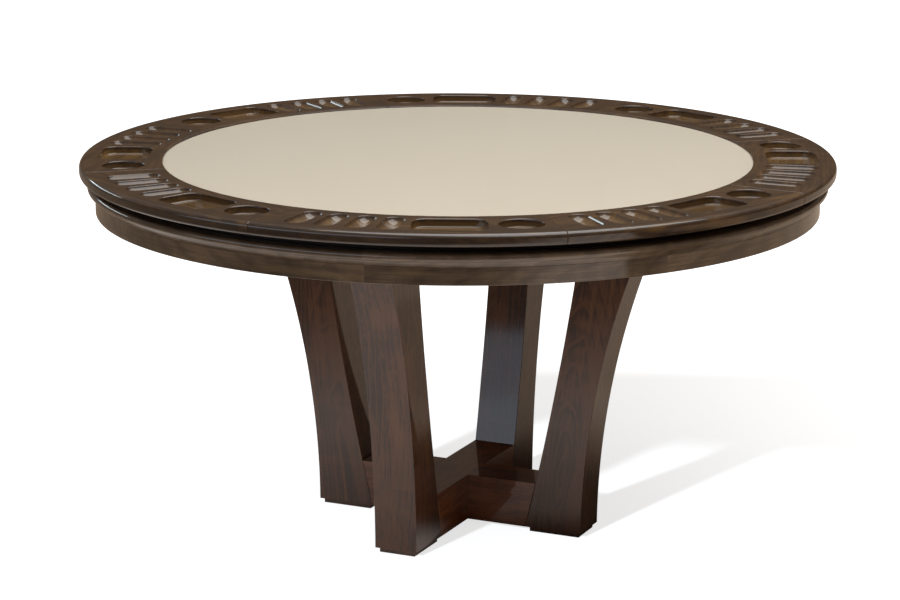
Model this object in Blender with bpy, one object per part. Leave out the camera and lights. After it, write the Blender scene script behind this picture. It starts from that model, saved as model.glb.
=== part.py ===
"""Round gaming table: an eight-player lift-off top on a base of four sabre legs.

Units are metres and +Z is up. The origin is on the floor under the centre of the
table. The legs stand on the X and Y axes. The top is a ring of eight solid rail
segments round a cloth-covered panel, and it lies loose on the base, held from
sliding by four pins.
"""
import math

import bmesh
import bpy
from mathutils import Matrix, Vector

# Driving dimensions
TABLE_HEIGHT = 0.762
TOP_RADIUS = 0.762
GAP = 0.0003                        # clearance between two pieces that touch
FACET = math.radians(5.0)           # one facet of every large ring
FACETS = 72

# Game top
STATIONS = 8
STATION_ANGLE = math.tau / STATIONS
TOP_TURN = math.radians(-5.7)       # the first seam, counted from the +X leg
TOP_THICK = 0.025
TOP_UNDERSIDE = TABLE_HEIGHT - TOP_THICK
RAIL_INNER = 0.5955
RAIL_MIDDLE = 0.675
NOSE_UPPER = 0.010                  # rounding above and below the table's edge
NOSE_LOWER = 0.008
INNER_ROUND = 0.004

# Panel inside the rail, from the bottom up
PANEL_RADIUS = 0.595
TONGUE_RADIUS = 0.610               # the core runs into a slot in the rail
REVERSE_THICK = 0.005
CORE_THICK = 0.010
UNDERLAY_THICK = 0.0044
CLOTH_THICK = 0.0015
REVERSE_TOP = TOP_UNDERSIDE + REVERSE_THICK
CORE_TOP = REVERSE_TOP + GAP + CORE_THICK
UNDERLAY_TOP = CORE_TOP + GAP + UNDERLAY_THICK
CLOTH_TOP = UNDERLAY_TOP + GAP + CLOTH_THICK

# Hollows of one player's station, as angles from the station's first seam
GROOVE_ANGLES = [math.radians(5.3 + 4.8 * index) for index in range(4)]
GROOVE_BALL = 0.0215                # the radius of the ball-nosed cut
GROOVE_DEPTH = 0.014
GROOVE_LENGTH = 0.108
TRAY_ANGLE = math.radians(28.8)
TRAY_SIZE = (0.100, 0.138)          # along the radius, and across it
TRAY_CORNER = 0.025
CUP_ANGLE = math.radians(39.9)
CUP_RADIUS = 0.042
WELL_DEPTH = 0.016                  # trays and cups

# Joints between the rail segments
SPLINE_REACH = 0.008                # into each of the two segments
SPLINE_THICK = 0.004
SPLINE_LENGTH = 0.110
SPLINE_MIDDLE = TOP_UNDERSIDE + 0.0115

# Locating pins, between a station's last groove and its tray
PIN_ANGLE = math.radians(21.9)
PIN_RADIUS = 0.004
PIN_ABOVE = 0.0075
PIN_BELOW = 0.0095
PIN_END_GAP = 0.001

# Rings under the top
NECK_HEIGHT = 0.0147
NECK_BOTTOM = TOP_UNDERSIDE - GAP - NECK_HEIGHT
NECK_INNER = 0.645
NECK_OUTER = 0.715
LEDGE_TOP = NECK_BOTTOM - GAP
LEDGE_INNER = 0.690
LEDGE_NOSE = 0.747
LEDGE_ROUND = 0.008
LEDGE_COVE = 0.011
APRON_OUTER = 0.731
APRON_THICK = 0.025
APRON_BOTTOM = 0.661

# Legs and what joins them
TIMBER = 0.091                      # thickness of legs, stretchers and beams
PAD_HEIGHT = 0.010
LEG_BOTTOM = PAD_HEIGHT
LEG_TOP = 0.672
LEG_FOOT_OUTER = 0.296
LEG_OUTER_ARC = 1.632               # upright at the floor, curving outwards
LEG_FOOT_INNER = 0.174
LEG_HEAD_INNER = 0.296
LEG_INNER_BOW = 0.009
STRETCHER_TOP = 0.105
PAD_INSET = 0.007
TENON_WIDTH = 0.028
TENON_BOTTOM = 0.030
TENON_TOP = 0.085
TENON_REACH = 0.022                 # into the leg and into the stretcher
BEAM_BOTTOM = LEG_TOP + GAP
BEAM_TOP = LEDGE_TOP
BLOCK_WIDTH = 0.040
BLOCK_LENGTH = 0.048
BLOCK_BOTTOM = 0.668

# Bolts from the beams down into the legs
BOLT_PLACES = (0.338, 0.400)
BOLT_SHANK = 0.004
BOLT_HEAD = 0.0085
BOLT_HEAD_THICK = 0.006
BOLT_LENGTH = 0.072
BOLT_RECESS = 0.014
BOLT_WALL = 0.011                   # radius of the recess for the head

WOOD_RAIL = (0.075, 0.052, 0.038)
WOOD_LEG = (0.060, 0.036, 0.026)
WOOD_INNER = (0.420, 0.290, 0.170)
CLOTH_COLOUR = (0.560, 0.520, 0.430)
FOAM_COLOUR = (0.700, 0.690, 0.660)
STEEL_COLOUR = (0.560, 0.560, 0.550)


def make_material(name, colour, roughness, metallic=0.0):
    """A Principled material of one colour."""
    material = bpy.data.materials.new(name)
    material.use_nodes = True
    shader = material.node_tree.nodes["Principled BSDF"]
    shader.inputs["Base Color"].default_value = (*colour, 1.0)
    shader.inputs["Roughness"].default_value = roughness
    shader.inputs["Metallic"].default_value = metallic
    return material


def polar(radius, angle, height):
    """The point at a radius and an angle from +X."""
    return Vector((radius * math.cos(angle), radius * math.sin(angle), height))


def arc(centre, radius, start, stop, steps):
    """Points on an arc in a profile plane. Angles are in degrees."""
    points = []
    for step in range(steps + 1):
        angle = math.radians(start + (stop - start) * step / steps)
        points.append((centre[0] + radius * math.cos(angle), centre[1] + radius * math.sin(angle)))
    return points


def finish_mesh(shape, name):
    """Turns a closed bmesh into mesh data with its faces pointing out."""
    bmesh.ops.recalc_face_normals(shape, faces=shape.faces)
    mesh = bpy.data.meshes.new(name)
    shape.to_mesh(mesh)
    shape.free()
    return mesh


def add_object(name, mesh, material, parent):
    """Places a mesh in the scene as one named piece under its parent."""
    piece = bpy.data.objects.new(name, mesh)
    if not mesh.materials:
        mesh.materials.append(material)
    bpy.context.collection.objects.link(piece)
    piece.parent = parent
    return piece


def revolve(profile, start, stop, steps):
    """Sweeps a closed (radius, height) outline round Z, capped unless it is a full turn."""
    shape = bmesh.new()
    full_turn = math.isclose(stop - start, math.tau)
    stations = steps if full_turn else steps + 1
    rings = []
    for station in range(stations):
        angle = start + (stop - start) * station / steps
        rings.append([shape.verts.new(polar(radius, angle, height)) for radius, height in profile])
    for station in range(steps):
        ring = rings[station]
        following = rings[(station + 1) % stations]
        for index in range(len(profile)):
            after = (index + 1) % len(profile)
            shape.faces.new((ring[index], following[index], following[after], ring[after]))
    if not full_turn:
        shape.faces.new(rings[0])
        shape.faces.new(rings[-1])
    return shape


def turn(profile, steps):
    """Turns an open (radius, height) outline round Z, closed by a flat face at each end."""
    shape = bmesh.new()
    rings = []
    for radius, height in profile:
        corners = [polar(radius, math.tau * step / steps, height) for step in range(steps)]
        rings.append([shape.verts.new(corner) for corner in corners])
    for lower, upper in zip(rings, rings[1:]):
        for step in range(steps):
            after = (step + 1) % steps
            shape.faces.new((lower[step], lower[after], upper[after], upper[step]))
    shape.faces.new(rings[0])
    shape.faces.new(rings[-1])
    return shape


def prism(outline, low, high):
    """Extrudes a closed (x, y) outline from one height to another."""
    shape = bmesh.new()
    bottom = [shape.verts.new((x, y, low)) for x, y in outline]
    top = [shape.verts.new((x, y, high)) for x, y in outline]
    for index in range(len(outline)):
        after = (index + 1) % len(outline)
        shape.faces.new((bottom[index], bottom[after], top[after], top[index]))
    shape.faces.new(bottom)
    shape.faces.new(top)
    return shape


def rectangle(low_x, high_x, low_y, high_y):
    """The outline of an upright rectangle."""
    return [(low_x, low_y), (high_x, low_y), (high_x, high_y), (low_x, high_y)]


def stand_up(shape):
    """Turns an extruded (radius, height) outline upright, its thickness centred on the X axis."""
    bmesh.ops.rotate(shape, verts=shape.verts, matrix=Matrix.Rotation(math.pi / 2, 3, "X"))
    return shape


def join_shapes(shapes):
    """Puts separate closed shapes into one bmesh, as a cutter."""
    joined = bmesh.new()
    for shape in shapes:
        bmesh.ops.recalc_face_normals(shape, faces=shape.faces)
        carrier = bpy.data.meshes.new("carrier")
        shape.to_mesh(carrier)
        shape.free()
        joined.from_mesh(carrier)
        bpy.data.meshes.remove(carrier)
    return joined


def cut(shape, cutters, name):
    """Cuts the closed cutter shapes out of a shape, and gives the resulting mesh."""
    body = bpy.data.objects.new(name, finish_mesh(shape, name))
    tool = bpy.data.objects.new("cutter", finish_mesh(join_shapes(cutters), "cutter"))
    bpy.context.collection.objects.link(body)
    bpy.context.collection.objects.link(tool)
    boolean = body.modifiers.new("hollows", "BOOLEAN")
    boolean.operation = "DIFFERENCE"
    boolean.solver = "EXACT"
    boolean.object = tool
    depsgraph = bpy.context.evaluated_depsgraph_get()
    result = bpy.data.meshes.new_from_object(body.evaluated_get(depsgraph))
    bpy.data.objects.remove(body)
    bpy.data.objects.remove(tool)
    result.name = name
    return result


def smooth_round_faces(piece):
    """Shades the curved faces smooth and keeps the real edges."""
    piece.data.shade_smooth()
    piece.data.set_sharp_from_angle(angle=math.radians(32))


def rail_profile():
    """One rail segment's section, with the slot for the core's tongue."""
    slot_bottom = REVERSE_TOP
    slot_top = CORE_TOP + GAP
    slot_radius = TONGUE_RADIUS + 0.0005
    nose_low = (TOP_RADIUS - NOSE_LOWER, TOP_UNDERSIDE + NOSE_LOWER)
    nose_high = (TOP_RADIUS - NOSE_UPPER, TABLE_HEIGHT - NOSE_UPPER)
    lip = (RAIL_INNER + INNER_ROUND, TABLE_HEIGHT - INNER_ROUND)
    profile = [(RAIL_INNER, TOP_UNDERSIDE)]
    profile += arc(nose_low, NOSE_LOWER, -90, 0, 2)
    profile += arc(nose_high, NOSE_UPPER, 0, 90, 3)
    profile += arc(lip, INNER_ROUND, 90, 180, 2)
    profile += [(RAIL_INNER, slot_top), (slot_radius, slot_top)]
    profile += [(slot_radius, slot_bottom), (RAIL_INNER, slot_bottom)]
    return profile


def groove_cutter():
    """A ball-nosed chip groove along X, centred over the origin at the rail's face."""
    half_run = GROOVE_LENGTH / 2 - math.sqrt(GROOVE_BALL ** 2 - (GROOVE_BALL - GROOVE_DEPTH) ** 2)
    shape = bmesh.new()
    bmesh.ops.create_uvsphere(shape, u_segments=12, v_segments=6, radius=GROOVE_BALL)
    bmesh.ops.rotate(shape, verts=shape.verts, matrix=Matrix.Rotation(math.pi / 2, 3, "Y"))
    middle = [edge for edge in shape.edges if abs(edge.verts[0].co.x) + abs(edge.verts[1].co.x) < 1e-6]
    bmesh.ops.split_edges(shape, edges=middle)
    for face in shape.faces:
        side = math.copysign(half_run, face.calc_center_median().x)
        for vertex in face.verts:
            vertex.tag = side > 0
    for vertex in shape.verts:
        vertex.co.x += half_run if vertex.tag else -half_run
    rims = [edge for edge in shape.edges if edge.is_boundary]
    bmesh.ops.bridge_loops(shape, edges=rims)
    lift = Vector((0, 0, TABLE_HEIGHT + GROOVE_BALL - GROOVE_DEPTH))
    bmesh.ops.translate(shape, verts=shape.verts, vec=lift)
    return shape


def tray_cutter():
    """A tray's hollow: a rounded rectangle centred on the origin."""
    outline = []
    half_x = TRAY_SIZE[0] / 2 - TRAY_CORNER
    half_y = TRAY_SIZE[1] / 2 - TRAY_CORNER
    for corner, (side_x, side_y) in enumerate(((1, 1), (-1, 1), (-1, -1), (1, -1))):
        centre = (side_x * half_x, side_y * half_y)
        outline += arc(centre, TRAY_CORNER, 90 * corner, 90 * corner + 90, 3)
    return prism(outline, TABLE_HEIGHT - WELL_DEPTH, TABLE_HEIGHT + WELL_DEPTH)


def cup_cutter():
    """A cup's hollow: a plain round well centred on the origin."""
    return turn([(CUP_RADIUS, TABLE_HEIGHT - WELL_DEPTH), (CUP_RADIUS, TABLE_HEIGHT + WELL_DEPTH)], 20)


def spline_slot():
    """The slot that a spline fills, centred on a seam and running along X."""
    half_length = SPLINE_LENGTH / 2 + GAP
    half_width = SPLINE_REACH + GAP
    near = RAIL_MIDDLE - half_length
    outline = rectangle(near, near + 2 * half_length, -half_width, half_width)
    half_height = SPLINE_THICK / 2 + GAP
    return prism(outline, SPLINE_MIDDLE - half_height, SPLINE_MIDDLE + half_height)


def pin_hole():
    """A blind hole in a rail segment's underside, on the Z axis."""
    roof = TOP_UNDERSIDE + PIN_ABOVE + PIN_END_GAP
    return turn([(PIN_RADIUS + GAP, TOP_UNDERSIDE - PIN_ABOVE), (PIN_RADIUS + GAP, roof)], 12)


def put_on_rail(shape, angle):
    """Moves a cutter from the origin to the rail's middle at an angle."""
    bmesh.ops.translate(shape, verts=shape.verts, vec=Vector((RAIL_MIDDLE, 0, 0)))
    bmesh.ops.rotate(shape, verts=shape.verts, matrix=Matrix.Rotation(angle, 3, "Z"))
    return shape


def rail_segment_mesh():
    """One player's station, from seam to seam, with all its hollows cut."""
    margin = GAP / 2 / RAIL_INNER
    blank = revolve(rail_profile(), margin, STATION_ANGLE - margin, round(STATION_ANGLE / FACET))
    cutters = [put_on_rail(groove_cutter(), angle) for angle in GROOVE_ANGLES]
    cutters.append(put_on_rail(tray_cutter(), TRAY_ANGLE))
    cutters.append(put_on_rail(cup_cutter(), CUP_ANGLE))
    cutters.append(put_on_rail(pin_hole(), PIN_ANGLE))
    cutters.append(spline_slot())
    last_slot = spline_slot()
    bmesh.ops.rotate(last_slot, verts=last_slot.verts, matrix=Matrix.Rotation(STATION_ANGLE, 3, "Z"))
    cutters.append(last_slot)
    return cut(blank, cutters, "rail_segment")


def build_rail(parent, material):
    """The eight rail segments, which share one mesh."""
    mesh = rail_segment_mesh()
    for station in range(STATIONS):
        piece = add_object(f"rail_segment_{station + 1}", mesh, material, parent)
        piece.rotation_euler.z = TOP_TURN + STATION_ANGLE * station
        smooth_round_faces(piece)


def build_splines(parent, material):
    """The loose splines that line up and join neighbouring rail segments."""
    half_length = SPLINE_LENGTH / 2
    half_height = SPLINE_THICK / 2
    near = RAIL_MIDDLE - half_length
    outline = rectangle(near, near + SPLINE_LENGTH, -SPLINE_REACH, SPLINE_REACH)
    shape = prism(outline, SPLINE_MIDDLE - half_height, SPLINE_MIDDLE + half_height)
    mesh = finish_mesh(shape, "rail_spline")
    for station in range(STATIONS):
        piece = add_object(f"rail_spline_{station + 1}", mesh, material, parent)
        piece.rotation_euler.z = TOP_TURN + STATION_ANGLE * station


def build_disc(name, radius, low, high, parent, material):
    """One round layer of the panel, its facets in line with the rail's."""
    mesh = finish_mesh(turn([(radius, low), (radius, high)], FACETS), name)
    piece = add_object(name, mesh, material, parent)
    piece.rotation_euler.z = TOP_TURN
    return piece


def build_panel(parent, materials):
    """The layers inside the rail, from the underside to the playing cloth."""
    build_disc("reverse_panel", PANEL_RADIUS, TOP_UNDERSIDE, REVERSE_TOP, parent, materials["rail"])
    build_disc("core_panel", TONGUE_RADIUS, REVERSE_TOP + GAP, CORE_TOP, parent, materials["inner"])
    build_disc("cloth_underlay", PANEL_RADIUS, CORE_TOP + GAP, UNDERLAY_TOP, parent, materials["foam"])
    build_disc("playing_cloth", PANEL_RADIUS, UNDERLAY_TOP + GAP, CLOTH_TOP, parent, materials["cloth"])


def build_ring(name, profile, parent, material, pockets=()):
    """A full ring of a section, with any pockets cut."""
    shape = revolve(profile, 0.0, math.tau, FACETS)
    mesh = cut(shape, pockets, name) if pockets else finish_mesh(shape, name)
    piece = add_object(name, mesh, material, parent)
    smooth_round_faces(piece)
    return piece


def pin_places():
    """The four pins' angles, in every second station."""
    return [TOP_TURN + PIN_ANGLE + STATION_ANGLE * station for station in range(0, STATIONS, 2)]


def build_support_ring(parent, material):
    """The recessed ring that carries the top, with a hole for each pin."""
    profile = rectangle(NECK_INNER, NECK_OUTER, NECK_BOTTOM, NECK_BOTTOM + NECK_HEIGHT)
    neck_top = NECK_BOTTOM + NECK_HEIGHT
    wall = PIN_RADIUS + GAP
    holes = []
    for angle in pin_places():
        hole = turn([(wall, neck_top - PIN_BELOW - GAP), (wall, neck_top + PIN_ABOVE)], 12)
        holes.append(put_on_rail(hole, angle))
    build_ring("support_ring", profile, parent, material, holes)


def build_pins(parent, material):
    """Steel pins pressed into the support ring, standing up into the rail."""
    neck_top = NECK_BOTTOM + NECK_HEIGHT
    profile = [
        (PIN_RADIUS, neck_top - PIN_BELOW),
        (PIN_RADIUS, TOP_UNDERSIDE + PIN_ABOVE - 0.001),
        (PIN_RADIUS - 0.001, TOP_UNDERSIDE + PIN_ABOVE),
    ]
    mesh = finish_mesh(turn(profile, 12), "locating_pin")
    for index, angle in enumerate(pin_places()):
        piece = add_object(f"locating_pin_{index + 1}", mesh, material, parent)
        piece.location = polar(RAIL_MIDDLE, angle, 0.0)


def ledge_profile():
    """The ledge moulding's section: a round nose over a cove that meets the apron."""
    nose = (LEDGE_NOSE - LEDGE_ROUND, LEDGE_TOP - LEDGE_ROUND)
    nose_end = (LEDGE_NOSE - LEDGE_ROUND, LEDGE_TOP - 2 * LEDGE_ROUND)
    cove_centre = (nose_end[0], nose_end[1] - LEDGE_COVE)
    cove_reach = nose_end[0] - APRON_OUTER
    bottom = cove_centre[1]
    profile = [(LEDGE_INNER, bottom), (APRON_OUTER, bottom)]
    for step in range(1, 3):
        angle = math.radians(90 * step / 3)
        x = cove_centre[0] - cove_reach * math.cos(angle)
        profile.append((x, bottom + LEDGE_COVE * math.sin(angle)))
    profile += arc(nose, LEDGE_ROUND, -90, 90, 5)
    profile.append((LEDGE_INNER, LEDGE_TOP))
    return profile


def apron_top():
    """The apron's upper edge, under the ledge moulding."""
    return LEDGE_TOP - 2 * LEDGE_ROUND - LEDGE_COVE - GAP


def build_apron(parent, material):
    """The ledge moulding and the plain band under it."""
    build_ring("ledge_moulding", ledge_profile(), parent, material)
    inner = APRON_OUTER - APRON_THICK
    build_ring("apron_ring", rectangle(inner, APRON_OUTER, APRON_BOTTOM, apron_top()), parent, material)


def leg_outer(height):
    """The radius of a leg's outer edge at a height."""
    return LEG_FOOT_OUTER + LEG_OUTER_ARC - math.sqrt(LEG_OUTER_ARC ** 2 - height ** 2)


def leg_inner(height):
    """The radius of a leg's inner edge at a height."""
    share = (height - LEG_BOTTOM) / (LEG_TOP - LEG_BOTTOM)
    straight = LEG_FOOT_INNER + (LEG_HEAD_INNER - LEG_FOOT_INNER) * share
    return straight + 4 * LEG_INNER_BOW * share * (1 - share)


def leg_outline():
    """A leg's side view: (radius, height) points up the outer edge and down the inner."""
    steps = 12
    heights = [LEG_BOTTOM + (LEG_TOP - LEG_BOTTOM) * step / steps for step in range(steps + 1)]
    outline = [(leg_outer(height), height) for height in heights]
    outline += [(leg_inner(height), height) for height in reversed(heights[::2])]
    return outline


def inner_face(height):
    """The radius of the faceted leg's inner face at a height in its lowest facet."""
    facet_top = LEG_BOTTOM + (LEG_TOP - LEG_BOTTOM) / 6
    share = (height - LEG_BOTTOM) / (facet_top - LEG_BOTTOM)
    return leg_inner(LEG_BOTTOM) + (leg_inner(facet_top) - leg_inner(LEG_BOTTOM)) * share


def tenon_span():
    """The inner and outer ends of a stretcher's loose tenon."""
    middle = inner_face((TENON_BOTTOM + TENON_TOP) / 2)
    return middle - TENON_REACH, middle + TENON_REACH


def tenon_shape(slack):
    """A loose tenon, or with slack the mortise that it fills, for the +X leg."""
    inner, outer = tenon_span()
    half_width = TENON_WIDTH / 2 + slack
    outline = rectangle(inner - slack, outer + slack, -half_width, half_width)
    return prism(outline, TENON_BOTTOM - slack, TENON_TOP + slack)


def bolt_hole(place, low, high, radius):
    """A round hole on the vertical line of one bolt of the +X leg."""
    shape = turn([(radius, low), (radius, high)], 12)
    bmesh.ops.translate(shape, verts=shape.verts, vec=Vector((place, 0, 0)))
    return shape


def bolt_tip():
    """The height of a bolt's lower end."""
    return BEAM_TOP - BOLT_RECESS - BOLT_LENGTH


def leg_mesh():
    """One leg on the +X axis, with its mortise and bolt holes."""
    outline = leg_outline()
    shape = stand_up(prism(outline, -TIMBER / 2, TIMBER / 2))
    cutters = [tenon_shape(GAP)]
    for place in BOLT_PLACES:
        cutters.append(bolt_hole(place, bolt_tip() - GAP, LEG_TOP + GAP, BOLT_SHANK + GAP))
    return cut(shape, cutters, "leg")


def build_legs(parent, materials):
    """Four legs with their foot pads, loose tenons and bolts."""
    leg = leg_mesh()
    outline = rectangle(
        leg_inner(LEG_BOTTOM) + PAD_INSET,
        leg_outer(LEG_BOTTOM) - PAD_INSET,
        PAD_INSET - TIMBER / 2,
        TIMBER / 2 - PAD_INSET,
    )
    pad = finish_mesh(prism(outline, 0.0, PAD_HEIGHT - GAP), "foot_pad")
    tenon = finish_mesh(tenon_shape(0.0), "stretcher_tenon")
    for side in range(4):
        angle = math.pi / 2 * side
        for name, mesh, material in (
            ("leg", leg, materials["leg"]),
            ("foot_pad", pad, materials["leg"]),
            ("stretcher_tenon", tenon, materials["inner"]),
        ):
            piece = add_object(f"{name}_{side + 1}", mesh, material, parent)
            piece.rotation_euler.z = angle
            smooth_round_faces(piece)


def bar_mesh(name, outline, notch_low, notch_high, cutters):
    """A bar along X with its half-lap notch and any further cuts."""
    half_notch = TIMBER / 2 + GAP
    notch = prism(rectangle(-half_notch, half_notch, -TIMBER, TIMBER), notch_low, notch_high)
    shape = stand_up(prism(outline, -TIMBER / 2, TIMBER / 2))
    return cut(shape, [notch, *cutters], name)


def half_turn(shape):
    """Turns a cutter to the opposite end of a bar."""
    bmesh.ops.rotate(shape, verts=shape.verts, matrix=Matrix.Rotation(math.pi, 3, "Z"))
    return shape


def build_stretchers(parent, material):
    """The two low bars that cross between the legs' feet."""
    low = inner_face(LEG_BOTTOM) - GAP
    high = inner_face(STRETCHER_TOP) - GAP
    outline = [(-low, LEG_BOTTOM), (low, LEG_BOTTOM), (high, STRETCHER_TOP), (-high, STRETCHER_TOP)]
    middle = (LEG_BOTTOM + STRETCHER_TOP) / 2
    notches = {
        "stretcher_x": (middle - GAP / 2, STRETCHER_TOP + GAP),
        "stretcher_y": (LEG_BOTTOM - GAP, middle + GAP / 2),
    }
    for index, (name, (notch_low, notch_high)) in enumerate(notches.items()):
        mortises = [tenon_shape(GAP), half_turn(tenon_shape(GAP))]
        mesh = bar_mesh(name, outline, notch_low, notch_high, mortises)
        piece = add_object(name, mesh, material, parent)
        piece.rotation_euler.z = math.pi / 2 * index


def inside_ring(radius):
    """How far out a bar's square corners reach inside a faceted ring."""
    flat = radius * math.cos(FACET / 2) - GAP
    return math.sqrt(flat ** 2 - (TIMBER / 2) ** 2)


def build_beams(parent, material):
    """The two beams that cross under the top and carry the rings."""
    end = inside_ring(APRON_OUTER - APRON_THICK)
    shoulder = inside_ring(LEDGE_INNER)
    shoulder_height = apron_top()
    outline = [
        (-end, BEAM_BOTTOM), (end, BEAM_BOTTOM), (end, shoulder_height), (shoulder, shoulder_height),
        (shoulder, BEAM_TOP), (-shoulder, BEAM_TOP), (-shoulder, shoulder_height), (-end, shoulder_height),
    ]
    middle = (BEAM_BOTTOM + BEAM_TOP) / 2
    notches = {
        "top_beam_x": (middle - GAP / 2, BEAM_TOP + GAP),
        "top_beam_y": (BEAM_BOTTOM - GAP, middle + GAP / 2),
    }
    for index, (name, (notch_low, notch_high)) in enumerate(notches.items()):
        holes = []
        for place in BOLT_PLACES:
            for direction in (1, -1):
                seat = BEAM_TOP - BOLT_RECESS - GAP
                holes.append(bolt_hole(direction * place, seat, BEAM_TOP + GAP, BOLT_WALL))
                holes.append(bolt_hole(direction * place, BEAM_BOTTOM - GAP, seat, BOLT_SHANK + GAP))
        mesh = bar_mesh(name, outline, notch_low, notch_high, holes)
        piece = add_object(name, mesh, material, parent)
        piece.rotation_euler.z = math.pi / 2 * index
        smooth_round_faces(piece)


def build_bolts(parent, material):
    """Two bolts down through the beam into each leg."""
    seat = BEAM_TOP - BOLT_RECESS
    profile = [
        (BOLT_SHANK - 0.0015, bolt_tip()),
        (BOLT_SHANK, bolt_tip() + 0.0015),
        (BOLT_SHANK, seat),
        (BOLT_HEAD, seat),
        (BOLT_HEAD, seat + BOLT_HEAD_THICK - 0.0015),
        (BOLT_HEAD - 0.0015, seat + BOLT_HEAD_THICK),
    ]
    mesh = finish_mesh(turn(profile, 12), "leg_bolt")
    for side in range(4):
        for index, place in enumerate(BOLT_PLACES):
            piece = add_object(f"leg_bolt_{side * 2 + index + 1}", mesh, material, parent)
            piece.location = polar(place, math.pi / 2 * side, 0.0)
            smooth_round_faces(piece)


def block_outline(side):
    """A glue block beside a beam's end, its outer face following the apron."""
    reach = (APRON_OUTER - APRON_THICK) * math.cos(FACET / 2) - GAP
    near = TIMBER / 2 + GAP
    far = near + BLOCK_WIDTH
    outer_near = math.sqrt(reach ** 2 - near ** 2)
    outer_far = math.sqrt(reach ** 2 - far ** 2)
    inner = outer_far - BLOCK_LENGTH
    return [(inner, side * near), (outer_near, side * near), (outer_far, side * far), (inner, side * far)]


def build_blocks(parent, material):
    """The glue blocks that hold the apron to the beams' ends."""
    for side in range(4):
        for index, hand in enumerate((1, -1)):
            name = f"corner_block_{side * 2 + index + 1}"
            mesh = finish_mesh(prism(block_outline(hand), BLOCK_BOTTOM, apron_top()), name)
            piece = add_object(name, mesh, material, parent)
            piece.rotation_euler.z = math.pi / 2 * side


def remove_scene_objects():
    """Empties the scene."""
    for item in list(bpy.data.objects):
        bpy.data.objects.remove(item, do_unlink=True)


def add_empty(name):
    """A parent for the pieces of one body."""
    empty = bpy.data.objects.new(name, None)
    bpy.context.collection.objects.link(empty)
    return empty


def build_table():
    """The whole table, as a fixed base and a top that lifts off."""
    materials = {
        "rail": make_material("rail_wood", WOOD_RAIL, 0.35),
        "leg": make_material("leg_wood", WOOD_LEG, 0.38),
        "inner": make_material("inner_wood", WOOD_INNER, 0.70),
        "cloth": make_material("cloth", CLOTH_COLOUR, 0.95),
        "foam": make_material("foam", FOAM_COLOUR, 0.90),
        "steel": make_material("steel", STEEL_COLOUR, 0.35, 1.0),
    }
    base = add_empty("base")
    game_top = add_empty("game_top")
    build_rail(game_top, materials["rail"])
    build_splines(game_top, materials["inner"])
    build_panel(game_top, materials)
    build_support_ring(base, materials["inner"])
    build_pins(base, materials["steel"])
    build_apron(base, materials["rail"])
    build_legs(base, materials)
    build_stretchers(base, materials["leg"])
    build_beams(base, materials["inner"])
    build_bolts(base, materials["steel"])
    build_blocks(base, materials["inner"])


remove_scene_objects()
build_table()
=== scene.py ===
"""Looks of the round gaming table: fine meshes, procedural materials, floor, light and camera.

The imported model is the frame. Lengths are in metres. Heights and radii are read from the
frame's nodes, and the named values below repeat the table's own design.
"""
import math

import bmesh
import bpy
import numpy as np
from mathutils import Matrix, Vector


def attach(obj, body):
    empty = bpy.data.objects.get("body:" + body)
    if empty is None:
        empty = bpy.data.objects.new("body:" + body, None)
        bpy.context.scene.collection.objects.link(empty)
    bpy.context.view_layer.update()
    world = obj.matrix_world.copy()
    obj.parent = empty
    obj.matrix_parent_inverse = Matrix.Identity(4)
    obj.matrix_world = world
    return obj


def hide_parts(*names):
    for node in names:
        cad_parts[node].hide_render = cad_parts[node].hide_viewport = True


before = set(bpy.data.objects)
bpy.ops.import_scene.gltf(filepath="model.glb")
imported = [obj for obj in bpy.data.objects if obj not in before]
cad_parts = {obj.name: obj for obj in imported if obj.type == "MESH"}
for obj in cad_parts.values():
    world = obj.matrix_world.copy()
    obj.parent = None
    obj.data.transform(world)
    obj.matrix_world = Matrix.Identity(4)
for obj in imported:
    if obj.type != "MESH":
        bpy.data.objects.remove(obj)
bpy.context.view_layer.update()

STATIONS = 8
STATION_ANGLE = math.tau / STATIONS
GAP = 0.0003                         # clearance between two pieces that touch

# Hollows of one player's station, as angles from the station's first seam
GROOVE_ANGLES = [math.radians(5.3 + 4.8 * index) for index in range(4)]
GROOVE_BALL = 0.0215
GROOVE_DEPTH = 0.014
GROOVE_LENGTH = 0.108
GROOVE_RIM = 0.0022
TRAY_ANGLE = math.radians(28.8)
TRAY_SIZE = (0.100, 0.138)
TRAY_CORNER = 0.025
CUP_ANGLE = math.radians(39.9)
CUP_RADIUS = 0.042
CUP_POINTS = 48
WELL_DEPTH = 0.016
WELL_RIM = 0.0030                    # rounding of a well's upper edge
WELL_FLOOR = 0.0040                  # rounding between its wall and floor
RIM_END = math.radians(82)           # a rim stops just short of level, so its cut stays clean
RAIL_MIDDLE = 0.675

# Roundings of the timber
NOSE_UPPER = 0.010
NOSE_LOWER = 0.008
LIP_REACH = 0.012                    # the rail rolls softly down to the cloth
LIP_DROP = 0.0030
LEDGE_ROUND = 0.008
LEDGE_COVE = 0.011
SEAM_EASE = 0.0006                   # small chamfer along each seam of the rail
EDGE_EASE = 0.0010                   # rounding of the legs' edges
STRETCHER_EASE = 0.0006
PAD_EASE = 0.0008

# Curves of a leg
LEG_OUTER_ARC = 1.632
LEG_FOOT_OUTER = 0.296
LEG_HEAD_INNER = 0.296
LEG_INNER_BOW = 0.009
LEG_GRAIN_LEAN = math.radians(7)     # the grain leans outwards with the leg

# Bolts and pins
BOLT_TIP = 0.0026
BOLT_SHANK = 0.0040
BOLT_HEAD = 0.006                    # height of a bolt's head
BOLT_ROUND = 0.0018                  # rounding of a head's edge, and height of a tip's taper
SOCKET_RADIUS = 0.0034
SOCKET_DEPTH = 0.0035
PIN_CHAMFER = 0.0008
PIN_ROUND = 0.0018

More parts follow.
